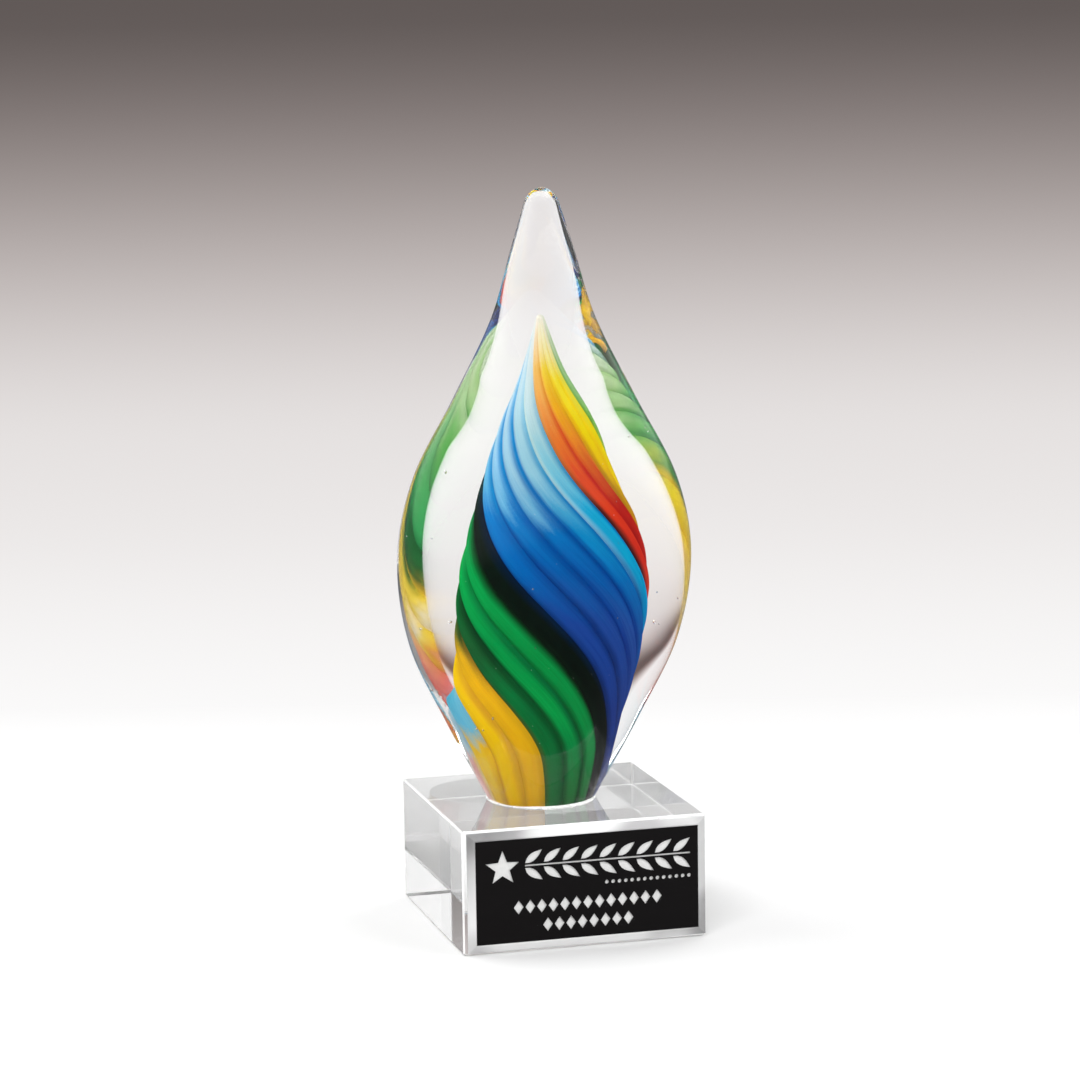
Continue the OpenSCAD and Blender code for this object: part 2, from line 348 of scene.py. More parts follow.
@dataclass(frozen=True)
class CaneGlass:
    """Dense colour glass of one cane, which changes along its height and across its rib.

    Each stop is a height over the foot in millimetres, with the colours of the left groove, the ridge and
    the right groove there: the glass's own colour, with painted shade in the grooves and painted highlights
    on the ridges.
    """

    name: str
    stops: tuple[tuple[float, str, str, str], ...]
    height: float
    seed: float
    wisp: float = 0.5

    def _along(self, desk: Desk, share: bpy.types.NodeSocket, column: int) -> bpy.types.NodeSocket:
        """Colour along the cane for one column of the stops."""
        return desk.ramp(share, [(stop[0] / self.height, linear(stop[column])) for stop in self.stops])

    def material(self) -> bpy.types.Material:
        """Builds the colour glass from its stops, with striae, milky specks and an uneven bleed."""
        desk = Desk(self.name)
        node = desk.tree.nodes.new("ShaderNodeUVMap")
        node.uv_map = CaneBundle.MAP
        across, along, _ = desk.axes(node.outputs[0])
        place = desk.place()
        slow = desk.vector(desk.math("MULTIPLY", across, 2.6), desk.math("MULTIPLY", along, 9.0), self.seed)
        drift = desk.noise(slow, 1.0, 2.0)
        grain = desk.noise(place, 2600.0, 2.0, 0.7)
        wander = desk.math("ADD", desk.math("MULTIPLY", desk.math("SUBTRACT", drift, 0.5), 0.09),
                           desk.math("MULTIPLY", desk.math("SUBTRACT", grain, 0.5), 0.035))
        share = desk.math("ADD", along, wander, clamp=True)
        side = desk.math("ADD", across, desk.math("MULTIPLY", desk.math("SUBTRACT", drift, 0.5), 0.16))
        # groove colours blend in at both edges of the rib as painted shade; the ridge colour between them carries a
        # painted highlight
        left = desk.spread(side, 0.30, 0.02, 0.0, 1.0, smooth=True)
        right = desk.spread(side, 0.62, 0.98, 0.0, 1.0, smooth=True)
        colour = desk.blend(left, self._along(desk, share, 2), self._along(desk, share, 1))
        colour = desk.blend(right, colour, self._along(desk, share, 3))
        fine = desk.vector(desk.math("MULTIPLY", across, 15.0), desk.math("MULTIPLY", along, 7.0),
                           self.seed + 3.0)
        striae = desk.noise(fine, 1.0, 3.0, 0.6)
        bright = desk.spread(striae, 0.42, 0.72, 0.0, 0.16 * self.wisp)
        colour = desk.blend(bright, colour, (1.0, 1.0, 1.0), "SOFT_LIGHT")
        dull = desk.spread(striae, 0.48, 0.26, 0.0, 0.22 * self.wisp)
        colour = desk.blend(dull, colour, (0.0, 0.0, 0.0), "SOFT_LIGHT")
        specks = desk.spread(desk.cells(place, 420.0), 0.10, 0.04, 0.0, 0.35)
        milky = desk.math("MULTIPLY", specks, desk.spread(drift, 0.55, 0.7))
        colour = desk.blend(milky, colour, (0.9, 0.95, 0.92))
        desk.set(Base_Color=colour, Roughness=desk.spread(grain, 0.3, 0.7, 0.55, 0.75), Specular_IOR_Level=0.0)
        relief = desk.math("ADD", desk.math("MULTIPLY", striae, 0.7), desk.math("MULTIPLY", grain, 0.15))
        desk.bump(relief, 0.5, 0.0003)
        return desk.material


@dataclass(frozen=True)
class WhiteGlass:
    """Opaque white glass with soft cloudy swirls."""

    name: str = "white_glass"

    def material(self) -> bpy.types.Material:
        """Builds the white glass."""
        desk = Desk(self.name)
        place = desk.place()
        swirl = desk.noise(place, 90.0, 4.0, 0.6)
        desk.set(Base_Color=desk.blend(swirl, (0.93, 0.93, 0.90), (0.86, 0.87, 0.82)),
                 Roughness=desk.spread(swirl, 0.3, 0.7, 0.3, 0.5), Specular_IOR_Level=0.1)
        desk.bump(swirl, 0.3, 0.0002)
        return desk.material


@dataclass(frozen=True)
class CuredGlue:
    """Clear glue, a little milky, with pin-sized air specks."""

    name: str = "cured_glue"

    def material(self) -> bpy.types.Material:
        """Builds the glue."""
        desk = Desk(self.name)
        place = desk.place()
        specks = desk.spread(desk.cells(place, 700.0), 0.16, 0.05)
        cloud = desk.noise(place, 240.0, 3.0)
        desk.set(Base_Color=desk.blend(specks, (0.985, 0.985, 0.975), (0.80, 0.81, 0.80)),
                 Roughness=desk.spread(cloud, 0.3, 0.7, 0.2, 0.4), IOR=1.5, Transmission_Weight=0.35)
        desk.bump(cloud, 0.4, 0.0002)
        return desk.material


@dataclass(frozen=True)
class FoamAdhesive:
    """White double-sided adhesive, wetted on to the crystal, with trapped air here and there."""

    name: str = "foam_adhesive"

    def material(self) -> bpy.types.Material:
        """Builds the adhesive."""
        desk = Desk(self.name)
        place = desk.place()
        air = desk.spread(desk.cells(place, 190.0), 0.12, 0.05)
        patch = desk.noise(place, 60.0, 4.0, 0.6)
        colour = desk.blend(desk.spread(patch, 0.45, 0.75, 0.0, 0.5), (0.90, 0.90, 0.88), (0.80, 0.80, 0.79))
        desk.set(Base_Color=desk.blend(desk.math("MULTIPLY", air, 0.5), colour, (0.62, 0.63, 0.63)),
                 Roughness=desk.spread(patch, 0.3, 0.7, 0.5, 0.8), Specular_IOR_Level=0.25)
        desk.bump(desk.noise(place, 900.0, 3.0), 0.4, 0.0001)
        return desk.material


class Polish(Enum):
    """How a face of the silver plate was worked."""

    MIRROR = "mirror_silver"
    ENGRAVED = "engraved_silver"


@dataclass(frozen=True)
class SilverFinish:
    """Bright silver: mirror polish on the bevel with painted reflection patches and painted shade, cut by the engraving
    tool under the panel.
    """

    polish: Polish

    def material(self) -> bpy.types.Material:
        """Builds the silver."""
        desk = Desk(self.polish.value)
        place = desk.place()
        x, _, z = desk.axes(place)
        smudge = desk.noise(place, 70.0, 4.0, 0.6)
        if self.polish is Polish.MIRROR:
            hair = desk.drawn(x, z, 60.0, 2200.0, 2.0)
            # broad light and dark patches on the mirror bevel: painted reflection
            painted_reflection = desk.drawn(x, z, 34.0, 34.0, 1.0)
            colour = desk.blend(desk.spread(painted_reflection, 0.44, 0.60, smooth=True),
                                (0.93, 0.93, 0.93), (0.54, 0.535, 0.54))
            # darker towards the upper left corner and at the right end: painted shade
            corner = desk.math("ADD", x, desk.math("SUBTRACT", 0.0386, z))
            painted_shade = desk.math("MULTIPLY", desk.spread(corner, -0.044, -0.006, 0.40, 1.0, smooth=True),
                              desk.spread(x, 0.030, 0.0395, 1.0, 0.66, smooth=True))
            colour = desk.blend(painted_shade, (0.0, 0.0, 0.0), colour)
            desk.set(Base_Color=desk.blend(desk.spread(smudge, 0.5, 0.8, 0.0, 0.3), colour, (0.80, 0.80, 0.81)),
                     Metallic=0.42, Roughness=desk.spread(smudge, 0.45, 0.75, 0.08, 0.2))
            desk.bump(hair, 0.12, 0.00004)
        else:
            cut = desk.drawn(x, z, 5200.0, 700.0, 3.0)
            desk.set(Base_Color=desk.blend(cut, (0.97, 0.97, 0.96), (0.82, 0.82, 0.81)), Metallic=0.55,
                     Roughness=desk.spread(cut, 0.3, 0.7, 0.42, 0.66))
            desk.bump(cut, 0.5, 0.00006)
        return desk.material


@dataclass(frozen=True)
class BlackCoat:
    """Satin black coating with a fine tooth, faint rub marks and a few grains of dust."""

    name: str = "black_coat"

    def material(self) -> bpy.types.Material:
        """Builds the coating."""
        desk = Desk(self.name)
        place = desk.place()
        x, _, z = desk.axes(place)
        tooth = desk.noise(place, 5200.0, 2.0, 0.6)
        rub = desk.drawn(x, z, 45.0, 260.0, 4.0, 0.65)
        dust = desk.spread(desk.cells(place, 330.0), 0.035, 0.015, 0.0, 0.25)
        colour = desk.blend(tooth, (0.0034, 0.0030, 0.0032), (0.0066, 0.0060, 0.0062))
        desk.set(Base_Color=desk.blend(dust, colour, (0.25, 0.25, 0.25)),
                 Roughness=desk.spread(rub, 0.35, 0.7, 0.34, 0.5), Specular_IOR_Level=0.11)
        desk.bump(tooth, 0.35, 0.00003)
        return desk.material


# ---------------------------------------------------------------- the flame and its core


@dataclass(frozen=True)
class FlameForm:
    """Sizes of the clear flame, as designed."""

    height: float = 198.2
    half_width: float = 47.7
    flatness: float = 0.67
    fullness: float = 0.8
    tip_radius: float = 4.6
    turn: float = -50.0
    facing: float = -9.0
    bow: float = 1.1
    lean: float = 3.0
    foot_offset: float = -3.0
    foot_z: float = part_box("glass_flame")[0][2] / MM
    foot_round: float = 0.45
    shape: Curve = Curve(((0, 0.361), (0.13, 0.659), (0.26, 0.917), (0.4, 0.998), (0.53, 0.891), (0.66, 0.615),
                          (0.79, 0.349), (0.9, 0.211), (1, 0.085)))
    flatten: Curve = Curve(((0, 0.2), (0.2, 0.75), (0.42, 1), (0.7, 0.8), (0.9, 0.35), (1, 0.1)))

    def seat(self, x: np.ndarray, y: np.ndarray, z: np.ndarray) -> np.ndarray:
        """Stands points on the block, leaning and bowing with the flame.

        Args:
            x: Distance to the right of the flame's middle line.
            y: Distance behind it.
            z: Height over the foot.

        Returns:
            Points in the award's frame, in millimetres.
        """
        share = z / self.height
        side = self.foot_offset + x + self.lean * share + self.bow * np.sin(np.pi * share)
        return np.stack(np.broadcast_arrays(side, y, z + self.foot_z), axis=-1)

    def half(self, z: np.ndarray) -> np.ndarray:
        """Half width of the flame at a height, with its rounded tip and eased foot."""
        cap = self.height - self.tip_radius
        tip = np.sqrt(np.clip(1 - (np.maximum(z - cap, 0) / self.tip_radius) ** 2, 0, 1))
        low = np.clip(1 - z / self.foot_round, 0, 1)
        ease = self.foot_round * (1 - np.sqrt(1 - low**2))
        return self.half_width * self.shape.at(z / self.height) * tip - ease

    def skin(self, angle: np.ndarray, z: np.ndarray) -> np.ndarray:
        """Points of the flame's outside at angles round it, in degrees, and heights."""
        share = z / self.height
        half = self.half(z)
        depth = 1 - (1 - self.flatness) * self.flatten.at(share)
        turn = np.radians(self.facing + self.turn * (share - 0.5))
        sine, cosine = np.sin(np.radians(angle)), np.cos(np.radians(angle))
        x = half * sine
        y = -half * depth * np.sign(cosine) * np.abs(cosine) ** self.fullness
        return self.seat(x * np.cos(turn) - y * np.sin(turn), x * np.sin(turn) + y * np.cos(turn), z)


@dataclass(frozen=True)
class CoreForm:
    """Sizes of the twisted colour core, as designed."""

    flame: FlameForm
    canes: int = 16
    height: float = 157.0
    radius: float = 27.0
    flatness: float = 0.85
    rib_depth: float = 0.065
    rib_round: float = 0.8
    twist: float = 257.0
    skew: float = 9.0
    start: float = -18.0
    gather_share: float = 0.72
    tip_round: float = 1.0
    shape: Curve = Curve(((0, 0.52), (0.1, 0.645), (0.2, 0.76), (0.32, 0.925), (0.45, 0.99), (0.56, 0.885),
                          (0.67, 0.67), (0.78, 0.465), (0.88, 0.225), (1, 0.03)))
    twisting: Curve = Curve(((0, 0), (0.07, 0.006), (0.13, 0.03), (0.22, 0.125), (0.32, 0.25), (0.48, 0.46),
                             (0.64, 0.665), (0.72, 0.765), (0.82, 0.865), (1, 1)))
    drift: Curve = Curve(((0, 0), (0.1, -0.5), (0.2, -0.1), (0.32, 0.6), (0.45, 1.8), (0.56, 2.1), (0.67, 1),
                          (0.78, 0.9), (0.88, 0), (1, -0.6)))

    def levels(self, rings: int) -> np.ndarray:
        """Heights of the rings, closer together towards the tip."""
        return self.height * (1 - (1 - np.linspace(0, 1, rings)) ** 1.25)

    def half(self, z: np.ndarray) -> np.ndarray:
        """Radius over the ribs at a height, drawn to a fine tip."""
        share = np.clip((z - (self.height - self.tip_round)) / self.tip_round, 0, 1)
        return self.radius * self.shape.at(z / self.height) * np.sqrt(1.0004 - share**2)

    def angle(self, cane: np.ndarray, z: np.ndarray) -> np.ndarray:
        """Angle of a groove round the core; whole numbers are grooves, halves are ridges."""
        whole = np.floor(cane)
        lay = [self.start + 360 * (whole + i) / self.canes - self.twist * self.twisting.at(z / self.height)
               for i in (0, 1)]
        low, high = (a + self.skew * np.sin(np.radians(a + 90)) for a in lay)
        return low + (cane - whole) * (high - low)

    def point(self, angle: np.ndarray, radius: np.ndarray, z: np.ndarray) -> np.ndarray:
        """A point at an angle and radius round the core's own middle line."""
        turn = np.radians(angle)
        x = radius * np.sin(turn) + self.drift.at(z / self.height)
        return self.flame.seat(x, -radius * self.flatness * np.cos(turn), z)

    def rib(self, cane: np.ndarray, z: np.ndarray, sink: float = 0.0) -> np.ndarray:
        """Points of the ribbed outside.

        Args:
            cane: Cane number, with its share across the rib after the point.
            z: Heights over the foot.
            sink: How far inside the real surface to stay.

        Returns:
            Points in the award's frame.
        """
        across = cane - np.floor(cane)
        swell = np.clip(np.sin(np.pi * across), 0, 1) ** self.rib_round
        radius = self.half(z) * (1 - self.rib_depth + self.rib_depth * swell)
        return self.point(self.angle(cane, z), np.maximum(radius - sink, 0.02), z)

    def gather(self, cane: np.ndarray, z: np.ndarray) -> np.ndarray:
        """Points of the round white gather under the canes."""
        return self.point(self.angle(cane, z), self.gather_share * self.half(z), z)


@dataclass
class GlassFlame:
    """The clear outer gather, with the hollow that the core fills and a few seeds of trapped air."""

    form: FlameForm
    core: CoreForm
    glass: ClearGlass = ClearGlass("fire_polished_glass", tint=(0.985, 0.97, 0.968))
    rings: int = 170
    steps: int = 12
    hollow_rings: int = 120
    sink: float = 0.12
    seeds: int = 34
    seed_sizes: tuple[float, float] = (0.10, 0.34)

    def _seeds(self, first: int) -> tuple[list[np.ndarray], list[tuple[int, ...]]]:
        """Small closed bubbles, turned inside out so that they are air.

        Args:
            first: Number of the first bubble's first point.

        Returns:
            Points and faces of all bubbles.
        """
        draw = random.Random(11)
        points: list[np.ndarray] = []
        faces: list[tuple[int, ...]] = []
        for _ in range(self.seeds):
            z = draw.uniform(0.12, 0.74) * self.core.height
            angle = draw.uniform(-180, 180)
            outside = self.form.skin(np.array(angle), np.array(z))
            inside = self.core.point(np.array(angle), self.core.half(np.array(z)), np.array(z))
            middle = inside + (outside - inside) * draw.uniform(0.3, 0.85)
            size = draw.uniform(*self.seed_sizes)
            stretch = draw.uniform(1.0, 1.9)
            ball = bmesh.new()
            bmesh.ops.create_icosphere(ball, subdivisions=2, radius=1.0)
            ball.verts.index_update()
            points += [middle + size * np.array((v.co.x, v.co.y, v.co.z * stretch)) for v in ball.verts]
            faces += [tuple(first + v.index for v in reversed(f.verts)) for f in ball.faces]
            first += len(ball.verts)
            ball.free()
        return points, faces

    def build(self) -> bpy.types.Object:
        """Blows the flame as one closed skin.

        Returns:
            The flame.
        """
        sides = self.core.canes * self.steps
        angle = np.linspace(0, 360, sides, endpoint=False)
        foot = self.form.foot_round * (1 - np.cos(np.linspace(0, np.pi / 2, 5)))
        rise = self.form.height * (1 - (1 - np.linspace(0, 1, self.rings)[1:-1]) ** 1.45)
        z = np.concatenate((foot, rise))
        outside = self.form.skin(angle[None, :], z[:, None]).reshape(-1, 3)
        deep = self.core.levels(self.hollow_rings)[:-1]
        cane = np.arange(sides) / self.steps
        hollow = self.core.rib(cane[None, :], deep[:, None], self.sink).reshape(-1, 3)
        zero = np.array(0.0)
        tips = [self.form.seat(zero, zero, np.array(self.form.height)),
                self.core.point(zero, zero, np.array(self.core.height - self.sink))]
        first = len(outside)
        tip = first + len(hollow)
        seed_points, seed_faces = self._seeds(tip + 2)
        faces = ring_faces(len(z), sides)
        faces += fan_faces((len(z) - 1) * sides, sides, tip)
        faces += ring_faces(len(deep), sides, first, inward=True)
        faces += fan_faces(first + (len(deep) - 1) * sides, sides, tip + 1, downward=True)
        faces += [(i, first + self._beside(i, sides), first + self._beside(i + 1, sides), (i + 1) % sides)
                  for i in range(sides)]
        piece = lay_mesh("clear_flame", np.concatenate((outside, hollow, tips, seed_points)), faces + seed_faces,
                         [self.glass.material()], crease=60)
        settle(piece, "clear_glass", "glass_flame")
        return piece

    def _beside(self, i: int, sides: int) -> int:
        """Point of the hollow's foot that lies beside point i of the outside."""
        turn = self.form.facing - self.form.turn / 2 - self.core.start
        return round(i + turn / 360 * sides) % sides


class Hue(Enum):
    """Colour families of the canes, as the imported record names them."""

    GREEN = "green"
    DARK_GREEN = "dark_green"
    BLACK = "black"
    BLUE = "blue"
    RED = "red"
    ORANGE = "orange"
    YELLOW = "yellow"
    YELLOW_GREEN = "yellow_green"


# colours of one cane at heights over the foot: left groove, ridge, right groove; the glass's own colour with
# painted shade in the grooves, painted highlights on the ridges, and some stops on the back of the core made paler as
# painted light
CANE_LAY: tuple[tuple[Hue, float, tuple[tuple[float, str, str, str], ...]], ...] = (
    (Hue.GREEN, 1.0, (
        (0, "3C6A2C", "1F7A3C", "1C6634"), (20, "4A5E28", "10763A", "0B5A2C"), (38, "3E5A26", "0B763A", "0A5A2C"),
        (52, "2C4A22", "1C5A2E", "0F3E20"), (66, "16401F", "12622E", "0C3A1C"), (84, "0C6A30", "12A04A", "0A7A38"),
        (93, "3CA048", "5CB450", "84C270"), (104, "74BC60", "A8D490", "B0D69C"), (118, "7CC06C", "A8D490", "A8D490"),
        (130, "B0D498", "D0E4C4", "98C880"), (157, "E8F0D8", "F2F4E4", "E8F0D8"))),
    (Hue.GREEN, 1.0, (
        (0, "1E6A34", "2E8A40", "1A5F30"), (18, "0C5F2E", "08964A", "0A6A36"), (34, "0B5A2C", "08AA4E", "046E3A"),
        (55, "063F20", "079446", "08743C"), (75, "0A5A2C", "0AA24A", "08803E"), (90, "08803C", "12AC50", "0A9044"),
        (100, "48A848", "68B85C", "60B454"), (112, "A8D48C", "B8DC9C", "A4D084"), (124, "B4D89C", "C4E0B0", "A8D48C"),
        (140, "B4D6A8", "D8ECD0", "B4D6A8"), (157, "EEF2DC", "F4F4E6", "EEF2DC"))),
    (Hue.DARK_GREEN, 0.8, (
        (0, "1A5F30", "2C8A40", "14301C"), (20, "05602E", "0AA04C", "0C2414"), (50, "067A3A", "0A9A48", "0B2012"),
        (78, "06803C", "0A9A48", "0A2412"), (95, "0A9044", "089048", "0A2A16"), (106, "5CAE50", "7CC070", "3C8A4C"),
        (115, "A8D094", "B4D8A4", "98C880"), (124, "CCE0B8", "D0E4C4", "C0DCA8"), (157, "D8E6D4", "E4EEDC", "D8E6D4"))),
    (Hue.BLACK, 0.45, (
        (0, "1C1519", "1A1418", "0C1826"), (14, "0C1C12", "0A160F", "06203A"), (55, "0B2012", "08150F", "04203C"),
        (95, "0B2214", "0A1A10", "05182C"), (109, "2A4A3C", "2C5244", "14405C"), (122, "9CC0A8", "A8C8BC", "7CB0C8"),
        (132, "C0D8D0", "D0E2DC", "B4D4E0"), (157, "D0DED8", "DCE8E4", "D0E0E8"))),
    (Hue.BLUE, 0.7, (
        (0, "142A66", "1B3C94", "1A3478"), (25, "142E70", "20409C", "1A3680"), (60, "14408E", "1F4CA6", "17459A"),
        (78, "0A54A4", "0464B6", "0A56A6"), (92, "0558A8", "0A78C2", "0468B4"), (102, "0A70BC", "62B4DC", "1088C8"),
        (116, "1C90D0", "96CCEA", "1C94D4"), (134, "58B4E2", "B4DAF0", "64B8E4"), (150, "CCE6F2", "E4F1F6", "CCE6F2"),
        (157, "F2F0E4", "F6F3E8", "F2F0E4"))),
    (Hue.BLUE, 0.8, (
        (0, "1A3478", "1F3F98", "1A3478"), (30, "1A3680", "23449E", "1C3A88"), (60, "14408E", "2450A8", "1646A0"),
        (80, "0650A2", "0664B6", "0454A6"), (93, "0460B0", "0C7CC6", "0460B0"), (100, "0A74C0", "64B0DA", "0C7CC2"),
        (112, "0C84C8", "98CCE8", "0E88CA"), (124, "1490D2", "AAD4EC", "1892D2"), (140, "7CC2E8", "CCE6F4", "7CC2E8"),
        (150, "D4EAF4", "E8F2F6", "D4EAF4"), (157, "F4F1E4", "F6F3E8", "F4F1E4"))),
    (Hue.BLUE, 0.9, (
        (0, "1A3478", "20409A", "1A3074"), (34, "1C3A88", "2548A2", "1A3A88"), (58, "1642A0", "2856AC", "1444A0"),
        (76, "0454A6", "0A62B6", "0450A6"), (90, "0460B0", "0A78C4", "0460B0"), (98, "0A78C2", "68B0D6", "0670BA"),
        (108, "0C86CA", "98CAE0", "0C80C4"), (122, "1890D2", "A8D2E8", "1490D2"), (138, "74BEE6", "C4E0F0", "7CC2E8"),
        (150, "D0E8F2", "E6F1F6", "D8ECF4"), (157, "F4F1E4", "F6F3E8", "F4F1E4"))),
    (Hue.BLUE, 1.0, (
        (0, "1A3074", "1E3E96", "1A3074"), (34, "1A3A88", "2050A8", "143C8E"), (56, "1444A0", "1C5CB0", "0A48A2"),
        (74, "0454A8", "0A78C6", "045CB0"), (88, "0460B2", "0E90D0", "0878C0"), (97, "0670BC", "44A8D6", "0A80C8"),
        (107, "0C80C6", "90CADE", "2C98CE"), (122, "1490D0", "A8D4E2", "7CC2E0"), (138, "7CC2E8", "CCE6F0", "B4DCEC"),
        (150, "DCEEF4", "EAF3F6", "E4F1F4"), (157, "F4F1E4", "F6F3E8", "F4F1E4"))),
    (Hue.BLUE, 1.0, (
        (0, "1A3074", "1C4AA0", "182C6C"), (36, "143C8E", "1A6ABC", "1454A8"), (50, "0E4CA2", "0A80C8", "0A6AB8"),
        (66, "0660B0", "0A9CD8", "0A50A0"), (82, "58B0DC", "0EB0E0", "0858AC"), (96, "94D0E8", "1AB0E0", "0870BC"),
        (108, "B0DCE0", "7CCCE2", "2A92CA"), (120, "C4E4E0", "B0DAE0", "66B6DA"), (134, "D6EAE8", "CCE4E8", "B4DAE4"),
        (148, "EEF4F2", "E6F1F2", "E8F2F2"), (157, "F6F2E4", "F6F3E6", "F6F2E4"))),
    (Hue.RED, 0.8, (
        (0, "DCDCE0", "ECEAEA", "E8E0E0"), (9, "DCDCE0", "ECEAEA", "E8E0E0"), (16, "A0CEE6", "C0DFEE", "A8D2E8"),
        (38, "70BEE8", "9CD4F0", "84C8E8"), (50, "4CA4D8", "7CC4E4", "8CBCD4"), (59, "8A4A48", "E2503A", "D83A28"),
        (78, "301C1E", "DC3426", "C42420"), (94, "5A2420", "E23C22", "C42420"), (106, "B85428", "E85026", "D42C22"),
        (118, "D47838", "F07C2C", "E85626"), (128, "E4A458", "F4A04C", "F08A30"), (140, "F0D09A", "F6C464", "F4B440"),
        (151, "FAF0D8", "FCEAC4", "FAE8B8"), (157, "FCF8EC", "FCF8EA", "FCF8E8"))),
    (Hue.ORANGE, 0.8, (
        (0, "E8E0E0", "EEE4E2", "F0D4D0"), (10, "E8E0E0", "EEE6E4", "EADCDA"), (18, "A8D2E8", "C8E2EC", "B8DCEA"),
        (30, "9CCEE8", "D0E6EA", "B4DAEA"), (46, "7CC4E4", "98D0E2", "98D0E2"), (51, "E88078", "F08078", "F08078"),
        (60, "D85048", "E4583C", "D83A28"), (80, "B82220", "CE2A22", "B82420"), (96, "C02420", "BE2620", "B0601C"),
        (106, "D43022", "DC5824", "C8801C"), (116, "EC6A24", "F28C28", "E49A1C"), (128, "F4A038", "F6B41C", "F4BA10"),
        (140, "F8CC54", "FADA40", "FCDE2C"), (151, "FCF0C8", "FDF4C8", "FDF2B8"), (157, "FCF8EC", "FCFAEC", "FCFAEA"))),
    (Hue.YELLOW, 0.7, (
        (0, "E48E8C", "EEA8A0", "F09C90"), (10, "ECB4B0", "EEA8A0", "EEA8A0"), (16, "EAD8D4", "F0EEE8", "EEA8A0"),
        (21, "CCE4EC", "D8EAEE", "CCE4EA"), (34, "B4DCF0", "BEE2F2", "A8D8EC"), (45, "8CCCE8", "94D0E4", "94D0E4"),
        (50, "F07C76", "F07C76", "F27870"), (56, "ECA8A0", "F29678", "F4B870"), (60, "ECC4AC", "F6CC8C", "FEE684"),
        (68, "E89470", "F0A868", "F6C060"), (77, "CC5230", "E4683A", "EC8034"), (88, "CC7C20", "D48E22", "E4A81C"),
        (98, "BC8620", "CCA01C", "F4C410"), (108, "D09A18", "F6C80C", "FFD80A"), (120, "F4C008", "FFE400", "FFE200"),
        (136, "FADA30", "FFEA34", "FFE40C"), (149, "FDF2B4", "FEF8C4", "FEF4A4"), (157, "FCF8EC", "FCFAEC", "FCFAE8"))),
    (Hue.YELLOW, 0.7, (
        (0, "E87C74", "F2B09C", "FCDC80"), (10, "EC9894", "F2B4A8", "FCE490"), (16, "F0C4BC", "EEA8A0", "EED070"),
        (22, "CCE4EC", "C0E0EE", "A0CCE4"), (36, "B4DCEE", "D0E8F2", "A8D8EC"), (45, "8CCCE8", "9CD4EA", "8CCCE8"),
        (50, "F07C76", "F29A80", "F4A860"), (54, "F4A44C", "F8B43C", "FEDC48"), (58, "FCD44C", "FEE468", "FEE050"),
        (61, "FEE8A8", "FEF2D4", "FEECB8"), (65, "FAD450", "FEE058", "FEDC30"), (75, "F2B864", "F8CC60", "FEDC30"),
        (88, "F4B41C", "FED00C", "FFDC0A"),
        (104, "FACC0C", "FFE008", "F0D80C"), (118, "FFE008", "F8E40C", "6CB03C"), (136, "FFE42C", "F0E448", "64B044"),
        (149, "FCF2B4", "F8F4C4", "D4E6B8"), (157, "FCF8EC", "FCFAEC", "F6F8EA"))),
    (Hue.YELLOW_GREEN, 0.9, (
        (0, "E8B02C", "FFD00A", "E0AC24"), (14, "FEDC34", "FFD418", "F6C412"), (22, "F2CC60", "FACE2C", "F6C412"),
        (29, "9CD0E6", "68C4E6", "74C4E0"), (40, "74C8E6", "54C4E6", "74C8E6"), (46, "8CCCE8", "74C8E6", "D0D8D0"),
        (50, "F07C76", "F29A80", "F4B070"), (55, "FEDC48", "FEDC48", "FEE060"), (60, "FEECB8", "FEF0C8", "FEE680"),
        (64, "FEDC34", "FEE050", "FEDC40"), (69, "FEDC24", "FEDC34", "4C7A2C"), (74, "FEDC24", "FEDC34", "4C7A2C"),
        (81, "FEDC24", "FFE028", "FEDC24"), (92, "FCD00C", "F2E42C", "B0C848"),
        (104, "ECDC30", "BCD040", "94C868"), (120, "74B63C", "80C460", "5CAE4C"), (140, "8CC470", "A8D494", "84C070"),
        (157, "F0F4DC", "F2F4E0", "F0F4DC"))),
    (Hue.YELLOW_GREEN, 1.0, (
        (0, "E0A828", "FFCE04", "E4AC26"), (28, "E0A826", "FFCE04", "E4AC26"), (34, "74C4E0", "FFCE04", "E4AC26"),
        (41, "7CC8E4", "FFCE04", "E4AC24"), (46, "E8D4C4", "FFD208", "E8B020"), (52, "F2D460", "FFD008", "E8B01C"),
        (58, "EACC40", "E4C01C", "90A024"), (64, "F6DC4C", "E0B028", "60822E"), (70, "E0B028", "306A32", "26763A"),
        (76, "2C6A30", "146430", "146430"), (81, "CCC430", "14843E", "08A44C"), (86, "FEDC24", "74B44C", "30B04C"),
        (91, "D8D43C", "ACC448", "84BC50"), (100, "94CC5C", "98D068", "84C468"), (120, "58B050", "88C870", "54AC50"),
        (140, "8CC67C", "B4DCA4", "8CC67C"), (157, "F0F4DC", "F2F4E0", "F0F4DC"))),
    (Hue.YELLOW_GREEN, 1.0, (
        (0, "E0AC28", "FAC212", "ECB41C"), (24, "E0AC26", "F8BC16", "EDB41C"), (42, "E0AC24", "F4BA18", "E4A81C"),
        (50, "E2AC1C", "DCAA1C", "A07C24"), (58, "8C8026", "5C6A28", "2C4A22"), (70, "26743A", "20703A", "145E30"),
        (79, "0A8842", "08A44C", "08A44C"), (88, "149044", "30A84C", "3CAC50"), (95, "6CBC60", "78C068", "5CB864"),
        (104, "94CC7C", "ACD694", "94CC7C"), (120, "88C47C", "B4DCA4", "A8D494"), (140, "84C484", "C0E2B4", "8CC88C"),
        (157, "EEF2DC", "F2F4E4", "EEF2DC"))),
)


